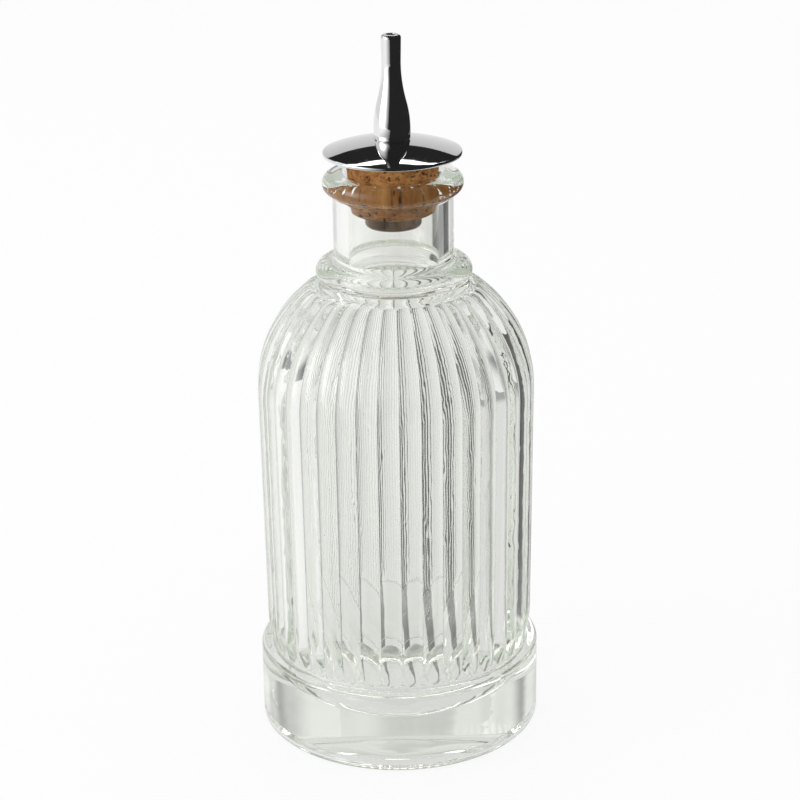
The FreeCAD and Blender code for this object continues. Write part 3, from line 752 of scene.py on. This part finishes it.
def flange_outline(s):
    """Outline of the domed flange, from its bore round to its bore."""
    bore = stem_bore(s)
    low, rim = FLANGE_LOW.z, FLANGE_HIGH.x
    rise = FLANGE_HIGH.z - low - s.flange_rim
    seat = spout_foot(s) + s.seat_margin
    drop = (rim**2 - seat**2 - rise**2) / (2.0 * rise)
    dome = math.hypot(rim, drop)
    dome_height = low + s.flange_rim - drop
    edge_centre = rim - s.flange_edge
    edge_rise = leg(dome - s.flange_edge, edge_centre)
    dome_share = dome / (dome - s.flange_edge)
    outline = Outline(bore, low)
    outline.line(edge_centre, low)
    outline.arc(rim, low + s.flange_edge, s.flange_edge, ROUND)
    outline.add(rim, dome_height + edge_rise)
    outline.arc(edge_centre * dome_share, dome_height + edge_rise * dome_share, s.flange_edge, ROUND)
    outline.arc(seat, FLANGE_HIGH.z, dome, ROUND, DOME_STEP)
    outline.line(bore, FLANGE_HIGH.z)
    outline.close()
    return outline


def spout_foot(s):
    """Radius of the spout where it stands on the flange."""
    return SPOUT_HIGH.x - s.belly_bend + leg(s.belly_bend, s.belly_rise)


def spout_outline(s):
    """Outline of the spout, from its socket over the belly, waist and tip and down the dash hole."""
    bore = stem_bore(s)
    channel = STEM_HIGH.x - s.stem_wall
    seat, tip = SPOUT_LOW.z, SPOUT_HIGH.z
    belly, belly_height = SPOUT_HIGH.x, seat + s.belly_rise
    narrowing = belly - s.waist_radius
    climb = s.waist_rise - s.belly_rise
    bends = (narrowing**2 + climb**2) / (2.0 * narrowing)
    share = s.belly_bend / bends
    turning = belly - s.belly_bend + (bends - narrowing) * share
    tip_radius = s.dash_radius + s.tip_flat + s.tip_round
    outline = Outline(bore, seat)
    outline.line(spout_foot(s), seat)
    outline.arc(belly, belly_height, s.belly_bend, ROUND, SPOUT_STEP)
    outline.arc(turning, belly_height + climb * share, s.belly_bend, ROUND, SPOUT_STEP)
    outline.arc(s.waist_radius, seat + s.waist_rise, bends - s.belly_bend, HOLLOW, SPOUT_STEP)
    outline.line(tip_radius, tip - s.tip_round, TIP_ROWS)
    outline.arc(tip_radius - s.tip_round, tip, s.tip_round, ROUND)
    outline.lines(
        (s.dash_radius, tip),
        (s.dash_radius, tip - s.dash_length),
        (channel, STEM_HIGH.z + s.channel_length),
        (channel, STEM_HIGH.z),
        (bore, STEM_HIGH.z),
    )
    outline.close()
    return outline


def stem_outline(s):
    """Outline of the stem tube."""
    inner = STEM_HIGH.x - s.stem_wall
    outline = Outline(inner, STEM_LOW.z)
    outline.lines((STEM_HIGH.x, STEM_LOW.z), (STEM_HIGH.x, STEM_HIGH.z), (inner, STEM_HIGH.z))
    outline.close()
    return outline


def nut_outline(s):
    """Outline of the retaining nut."""
    bore, rim = stem_bore(s), NUT_HIGH.x
    outline = Outline(bore, NUT_LOW.z)
    outline.line(rim - s.nut_round, NUT_LOW.z)
    outline.arc(rim, NUT_LOW.z + s.nut_round, s.nut_round, ROUND)
    outline.lines((rim, NUT_HIGH.z - s.nut_chamfer), (rim - s.nut_chamfer, NUT_HIGH.z), (bore, NUT_HIGH.z))
    outline.close()
    return outline


def bare_nodes(holder):
    """Emptied node tree of a material, the world or a lamp."""
    holder.use_nodes = True
    holder.node_tree.nodes.clear()
    return Nodes(holder.node_tree)


def new_material(name, finish):
    """Material with a Principled shader: the material, its nodes, that shader and the output."""
    material = bpy.data.materials.new(name)
    nodes = bare_nodes(material)
    shader = nodes.add("ShaderNodeBsdfPrincipled", finish)
    output = nodes.add("ShaderNodeOutputMaterial", {"Surface": shader.outputs[0]})
    return material, nodes, shader, output


def handling_marks():
    """Shader group shared by glass and metal: faint smudges in the gloss and slight waves in the surface."""
    name = "Handling Marks"
    if name in bpy.data.node_groups:
        return bpy.data.node_groups[name]
    labels = ("Smudge Scale", "Wave Scale", "Least Roughness", "Most Roughness")
    outputs = dict.fromkeys(("Roughness", "Height"), "Float")
    group, nodes, given = new_group(name, "ShaderNodeTree", dict.fromkeys(labels, "Float"), outputs)
    place = nodes.add("ShaderNodeTexCoord").outputs["Object"]
    smudge = nodes.noise(place, given["Smudge Scale"], **SMUDGE_FORM)
    gloss = nodes.scaled(smudge, *SMUDGE_RANGE, given["Least Roughness"], given["Most Roughness"])
    wave = nodes.noise(place, given["Wave Scale"])
    nodes.add("NodeGroupOutput", {"Roughness": gloss, "Height": wave})
    return group


def add_marks(nodes, shader, smudge_scale, wave_scale, least, most, wave_height):
    """Handling marks on one material, with its own values; gives the normal of their waves."""
    marks = nodes.add("ShaderNodeGroup", node_tree=handling_marks())
    marks.inputs["Smudge Scale"].default_value = smudge_scale
    marks.inputs["Wave Scale"].default_value = wave_scale
    marks.inputs["Least Roughness"].default_value = least
    marks.inputs["Most Roughness"].default_value = most
    waves = nodes.bump(marks.outputs["Height"], wave_height)
    nodes.feed(shader.inputs["Roughness"], marks.outputs["Roughness"])
    nodes.feed(shader.inputs["Normal"], waves)
    return waves


def clear_glass(s):
    """Clear glass, faintly green in its thickness, with slight waves and streaks left by the mould."""
    finish = {"Base Color": GLASS_COLOUR, "IOR": GLASS_IOR, "Transmission Weight": 1.0}
    material, nodes, shader, output = new_material("clear_glass", finish)
    waves = add_marks(nodes, shader, *GLASS_MARKS)
    place = nodes.add("ShaderNodeTexCoord").outputs["Object"]
    streak = nodes.noise(nodes.stretched(place, STREAK_STRETCH), STREAK_SCALE, Distortion=STREAK_TWIST)
    height = nodes.split(place)["Z"]
    begun = nodes.scaled(height, s.streak_low, s.streak_low + s.streak_fade, smooth=True)
    ended = nodes.scaled(height, s.streak_high, s.streak_high - s.streak_fade, smooth=True)
    streaks = nodes.bump(streak, s.streak_depth, nodes.times(begun, ended), Normal=waves)
    nodes.feed(shader.inputs["Normal"], streaks)
    absorption = nodes.add("ShaderNodeVolumeAbsorption", {"Density": s.tint_depth, "Color": (*s.tint, 1.0)})
    nodes.feed(output.inputs["Volume"], absorption.outputs[0])
    return material


def smudged_metal(name, shade, marks):
    """Bright metal with faint smudges, or with the fine roughness of a drawn tube."""
    material, nodes, shader, _ = new_material(name, {"Base Color": (*shade, 1.0), "Metallic": 1.0})
    add_marks(nodes, shader, *marks)
    return material


def natural_cork(s):
    """Cork with light and dark grain, dark pits and a rough skin."""
    finish = {"Roughness": CORK_ROUGHNESS, "Specular IOR Level": CORK_GLOSS}
    material, nodes, shader, _ = new_material("natural_cork", finish)
    place = nodes.add("ShaderNodeTexCoord").outputs["Object"]
    stretched = nodes.stretched(place, CORK_STRETCH)
    grain = nodes.noise(stretched, GRAIN_SCALE, **GRAIN_FORM)
    body = nodes.ramp(grain, GRAIN_RANGE, (s.cork_dark, s.cork_light))
    blotch = nodes.noise(place, BLOTCH_SCALE, BLOTCH_DETAIL)
    toned = nodes.mix(1.0, body, nodes.ramp(blotch, BLOTCH_RANGE, (BLOTCH_SHADE, WHITE[:3])), "MULTIPLY")
    pits = nodes.scaled(nodes.noise(place, 1.0 / s.pit_size, PIT_DETAIL), PIT_EDGE, PIT_DARK)
    speck = nodes.add("ShaderNodeTexVoronoi", {"Vector": stretched, "Scale": SPECK_SCALE})
    specks = nodes.scaled(speck.outputs["Distance"], *SPECK_RANGE, SPECK_DARK, 0.0)
    dark = nodes.math("MAXIMUM", pits, specks)
    nodes.feed(shader.inputs["Base Color"], nodes.mix(dark, toned, (*s.pit_colour, 1.0)))
    nodes.feed(shader.inputs["Normal"], nodes.bump(nodes.minus(grain, specks), SKIN_DEPTH))
    return material


class BITTERS_OT_make_bottle(Operator):
    """Make the reeded glass bottle"""

    bl_idname = "bitters.make_bottle"
    bl_label = "Make Bottle"

    def execute(self, context):
        s = context.scene.bitters_bottle
        sizes = {
            "Ribs": s.rib_count,
            "Columns per Rib": COLUMNS_PER_RIB,
            "Rib Rise": s.rib_height / s.body_radius,
            "Rib Ground": s.rib_ground,
            "Rib Sink": s.rib_sink,
            "Rib Blend": s.rib_blend,
            "Rib Turn": s.rib_turn,
            "Wave Depth": s.wave_depth,
            "Wave Size": s.wave_size,
        }
        tree = turned_tree("Reeded Turning", sizes, reeded_shape)
        bottle = turned_piece("reeded_bottle", bottle_outline(s), tree, sizes, clear_glass(s))
        stand_for(bottle, "bottle", "clear_glass", "glass_foot", "glass_body", "glass_neck")
        return {"FINISHED"}


class BITTERS_OT_make_cork(Operator):
    """Make the pitted cork"""

    bl_idname = "bitters.make_cork"
    bl_label = "Make Cork"

    def execute(self, context):
        s = context.scene.bitters_stopper
        sizes = {"Columns": CORK_COLUMNS, "Pit Depth": s.pit_depth, "Pit Size": s.pit_size}
        tree = turned_tree("Pitted Turning", sizes, pitted_shape)
        cork = turned_piece("pitted_cork", cork_outline(s), tree, sizes, natural_cork(s))
        stand_for(cork, "stopper", "natural_cork", "cork")
        return {"FINISHED"}


class BITTERS_OT_make_metal(Operator):
    """Make the flange, the spout, the nut and the stem tube"""

    bl_idname = "bitters.make_metal"
    bl_label = "Make Metal Pieces"

    def execute(self, context):
        s = context.scene.bitters_stopper
        sizes = {"Columns": METAL_COLUMNS}
        tree = turned_tree("Plain Turning", sizes, plain_shape)
        chrome = smudged_metal("polished_chrome", s.chrome_colour, CHROME_MARKS)
        dark_metal = smudged_metal("dark_metal", s.nut_colour, CHROME_MARKS)
        steel = smudged_metal("drawn_steel", s.steel_colour, STEEL_MARKS)
        pieces = (
            ("domed_flange", "drip_flange", flange_outline(s), chrome, "polished_metal"),
            ("dasher_spout", "spout", spout_outline(s), chrome, "polished_metal"),
            ("round_nut", "retaining_nut", nut_outline(s), dark_metal, "polished_metal"),
            ("stem_pipe", "stem_tube", stem_outline(s), steel, "plain_steel"),
        )
        for name, node, outline, material, slot in pieces:
            piece = turned_piece(name, outline, tree, sizes, material)
            stand_for(piece, "stopper", slot, node)
        return {"FINISHED"}


def sweep_rows(s):
    """Rows of the sweep from front to back: right-hand end, depth and height."""
    flat = s.sweep_back - s.sweep_bend
    rows = [
        (s.sweep_corner, -s.sweep_front, 0.0),
        (s.sweep_corner, -s.sweep_notch, 0.0),
        (s.sweep_right, -s.sweep_notch, 0.0),
        (s.sweep_right, flat, 0.0),
    ]
    for step in range(1, SWEEP_BEND_ROWS + 1):
        turn = math.radians(90) * step / SWEEP_BEND_ROWS
        depth = flat + s.sweep_bend * math.sin(turn)
        rows.append((s.sweep_right, depth, s.sweep_bend * (1.0 - math.cos(turn))))
    rows.append((s.sweep_right, s.sweep_back, s.sweep_rise))
    return rows


def white_sweep(s):
    """White paper under and behind the bottle, narrower in front."""
    rows = sweep_rows(s)
    vertices = [(x, y, z) for right, y, z in rows for x in (-s.sweep_left, right)]
    faces = [(2 * row, 2 * row + 1, 2 * row + 3, 2 * row + 2) for row in range(len(rows) - 1)]
    # The second and the third row lie at the same depth, so the face between them is flat.
    del faces[1]
    mesh = bpy.data.meshes.new("white_sweep")
    mesh.from_pydata(vertices, [], faces)
    mesh.shade_smooth()
    mesh.materials.append(white_paper(s))
    sweep = new_object("white_sweep", mesh)


def painted_floor_shade(nodes, s, spot):
    """Share of the painted shade in a sector of the floor, to the right behind the bottle and wider far away.
    """
    sideways = nodes.math("ARCTAN2", spot["X"], spot["Y"])
    apart = nodes.math("SQRT", nodes.plus(nodes.squared(spot["X"]), nodes.squared(spot["Y"])))

    def up_to(end):
        """1 up to a direction and 0 past it."""
        return nodes.scaled(sideways, end, end + s.shade_edge, 1.0, 0.0)

    begun = nodes.scaled(sideways, s.shade_start, s.shade_start + s.shade_edge)
    spread = nodes.scaled(apart, s.spread_start, s.spread_end, 0.0, s.spread_share)
    wide = nodes.times(spread, up_to(s.shade_end + s.shade_spread))
    sector = nodes.times(begun, nodes.math("MAXIMUM", up_to(s.shade_end), wide))
    return nodes.times(sector, nodes.scaled(apart, s.shade_near, s.shade_far, s.shade_least, 1.0))


def painted_floor_lights(nodes, s, spot):
    """Brightness of the floor as metal and glass show it: painted light to the left, painted shade behind and
    at the front corner.
    """
    lit = nodes.scaled(spot["X"], -s.bright_side, 0.0, s.paper_white, s.paper_plain)
    painted_strips = nodes.blend(painted_floor_shade(nodes, s, spot), lit, s.paper_dark)
    # Painted shade: the front part darkens towards its right-hand end, for metal and glass only.
    corner = nodes.scaled(spot["X"], s.sweep_corner - s.corner_fade, s.sweep_corner, 1.0, s.corner_dim)
    front = nodes.math("LESS_THAN", spot["Y"], -s.sweep_notch)
    return nodes.times(painted_strips, nodes.blend(front, 1.0, corner))


def painted_upright_shade(nodes, s, place, height, through_glass):
    """Brightness of the upright paper: painted shade in cloudy patches through glass, and painted shade
    darker towards its top in metal.
    """
    climb = nodes.scaled(height, 0.0, s.sweep_rise, s.paper_back, s.paper_back * s.back_top)
    cloud = nodes.noise(place, CLOUD_SCALE, Distortion=CLOUD_TWIST)
    darkest = s.paper_back * (1.0 - s.back_clouds)
    clouds = nodes.scaled(cloud, *CLOUD_RANGE, darkest, s.paper_back, smooth=True)
    return nodes.blend(nodes.minus(1.0, through_glass), clouds, climb)


def white_paper(s):
    """Paper that keeps shadows, is white to the eye, and glows with painted light and painted shade for metal
    and glass.
    """
    material = bpy.data.materials.new("white_paper")
    nodes = bare_nodes(material)
    path = nodes.add("ShaderNodeLightPath").outputs
    eye, metal, glass = (path[f"Is {kind} Ray"] for kind in ("Camera", "Glossy", "Transmission"))
    place = nodes.add("ShaderNodeNewGeometry").outputs["Position"]
    spot = nodes.split(place)
    upright = nodes.math("GREATER_THAN", spot["Z"], UPRIGHT_START)
    back = painted_upright_shade(nodes, s, place, spot["Z"], glass)
    painted_lights_and_darks = nodes.blend(upright, painted_floor_lights(nodes, s, spot), back)
    # The paper glows: white at strength 1 to the eye, and with the painted light and shade in metal and
    # through glass.
    glow = nodes.add("ShaderNodeEmission", {"Color": WHITE, "Strength": nodes.blend(eye, painted_lights_and_darks, 1.0)})
    seen = nodes.math("MAXIMUM", eye, nodes.math("MAXIMUM", metal, glass))
    share = nodes.times(seen, s.sweep_glow)
    paper = nodes.add("ShaderNodeBsdfDiffuse", {"Color": PAPER_COLOUR})
    mixed = nodes.add("ShaderNodeMixShader", {0: share, 1: paper.outputs[0], 2: glow.outputs[0]})
    nodes.add("ShaderNodeOutputMaterial", {"Surface": mixed.outputs[0]})
    return material


def studio_world(s):
    """White to the eye, dim in metal, patchy through glass, and a plain soft fill for everything else."""
    world = bpy.data.worlds.new("studio")
    nodes = bare_nodes(world)
    path = nodes.add("ShaderNodeLightPath").outputs
    towards = nodes.add("ShaderNodeTexCoord").outputs["Generated"]
    way = nodes.split(towards)
    room = nodes.scaled(way["X"], *ROOM_SIDE, s.room_left, s.room_strength, smooth=True)
    mirrored = nodes.blend(path["Is Glossy Ray"], s.fill_strength, room)
    plain = nodes.scaled(way["Z"], s.low_end, s.high_start, s.low_strength, s.high_strength, smooth=True)
    patch = nodes.noise(towards, PATCH_SCALE)
    patches = nodes.scaled(patch, *PATCH_RANGE, 1.0 - s.room_patches, 1.0, smooth=True)
    patched = nodes.blend(nodes.scaled(way["Y"], *PATCH_SIDE), 1.0, patches)
    through = nodes.blend(path["Is Transmission Ray"], mirrored, nodes.times(plain, patched))
    strength = nodes.blend(path["Is Camera Ray"], through, 1.0)
    background = nodes.add("ShaderNodeBackground", {"Color": WHITE, "Strength": strength})
    nodes.add("ShaderNodeOutputWorld", {"Surface": background.outputs[0]})
    bpy.context.scene.world = world


def softbox(name, place, size, power, dim=1.0):
    """Area lamp that faces the bottle, dimmed towards one end and soft at its other edges."""
    lamp = bpy.data.lights.new(name, "AREA")
    lamp.shape = "RECTANGLE"
    lamp.size, lamp.size_y = size
    lamp.energy = power
    nodes = bare_nodes(lamp)
    spot = nodes.split(nodes.add("ShaderNodeNewGeometry").outputs["Parametric"])
    fall = nodes.math("POWER", nodes.minus(1.0, spot["X"]), LAMP_FALL)
    slope = nodes.scaled(fall, 0.0, 1.0, dim, 1.0)
    end = nodes.scaled(spot["X"], 0.0, LAMP_END, smooth=True)
    off_middle = nodes.math("ABSOLUTE", nodes.minus(spot["Y"], 0.5))
    edge = nodes.scaled(off_middle, 0.5, LAMP_CORE, smooth=True)
    glow = nodes.add("ShaderNodeEmission", {"Strength": nodes.times(nodes.times(slope, end), edge)})
    nodes.add("ShaderNodeOutputLight", {"Surface": glow.outputs[0]})
    holder = new_object(name, lamp)
    holder.location = place
    holder.rotation_euler = (Vector(LAMP_TARGET) - Vector(place)).to_track_quat("-Z", "Y").to_euler()
    holder.visible_camera = False


def photo_camera(s):
    """Camera at the photograph's height, distance and tilt."""
    data = bpy.data.cameras.new("photo_camera")
    data.sensor_width = SENSOR_WIDTH
    data.lens = s.camera_lens
    data.clip_start = CLIP_START
    camera = new_object("photo_camera", data)
    camera.location = (s.camera_side, -s.camera_distance, s.camera_height)
    tilt = Euler((math.radians(90) - s.camera_pitch, 0.0, 0.0)).to_matrix()
    roll = Euler((0.0, 0.0, s.camera_roll)).to_matrix()
    camera.rotation_euler = (tilt @ roll).to_euler()
    bpy.context.scene.camera = camera


class BITTERS_OT_make_stage(Operator):
    """Make the sweep, the lamps, the surroundings and the camera"""

    bl_idname = "bitters.make_stage"
    bl_label = "Make Stage"

    def execute(self, context):
        scene = context.scene
        s = scene.bitters_stage
        white_sweep(s)
        studio_world(s)
        softbox("left_softbox", KEY_PLACE, KEY_SIZE, s.key_power, s.key_dim)
        softbox("top_strip", TOP_PLACE, TOP_SIZE, s.top_power)
        photo_camera(s)
        scene.view_settings.view_transform = "Standard"
        scene.cycles.max_bounces = GLASS_BOUNCES
        scene.cycles.transmission_bounces = GLASS_BOUNCES
        scene.cycles.glossy_bounces = GLASS_BOUNCES
        return {"FINISHED"}


class BITTERS_PT_bottle(Panel):
    """Sizes, colours and build buttons of the bitters bottle"""

    bl_idname = "BITTERS_PT_bottle"
    bl_label = "Bitters Bottle"
    bl_space_type = "VIEW_3D"
    bl_region_type = "UI"
    bl_category = "Bitters Bottle"

    def draw(self, context):
        for operator in OPERATORS:
            self.layout.operator(operator.bl_idname)
        for label in ("bitters_bottle", "bitters_stopper", "bitters_stage"):
            settings = getattr(context.scene, label)
            box = self.layout.box()
            for name in settings.__annotations__:
                box.prop(settings, name)


OPERATORS = (BITTERS_OT_make_bottle, BITTERS_OT_make_cork, BITTERS_OT_make_metal, BITTERS_OT_make_stage)
CLASSES = (BottleSettings, StopperSettings, StageSettings, *OPERATORS, BITTERS_PT_bottle)


def register():
    for cls in CLASSES:
        bpy.utils.register_class(cls)
    bpy.types.Scene.bitters_bottle = PointerProperty(type=BottleSettings)
    bpy.types.Scene.bitters_stopper = PointerProperty(type=StopperSettings)
    bpy.types.Scene.bitters_stage = PointerProperty(type=StageSettings)


def unregister():
    del bpy.types.Scene.bitters_stage
    del bpy.types.Scene.bitters_stopper
    del bpy.types.Scene.bitters_bottle
    for cls in reversed(CLASSES):
        bpy.utils.unregister_class(cls)


def main():
    register()
    bpy.ops.bitters.make_stage()
    bpy.ops.bitters.make_bottle()
    bpy.ops.bitters.make_cork()
    bpy.ops.bitters.make_metal()


if __name__ == "__main__":
    main()
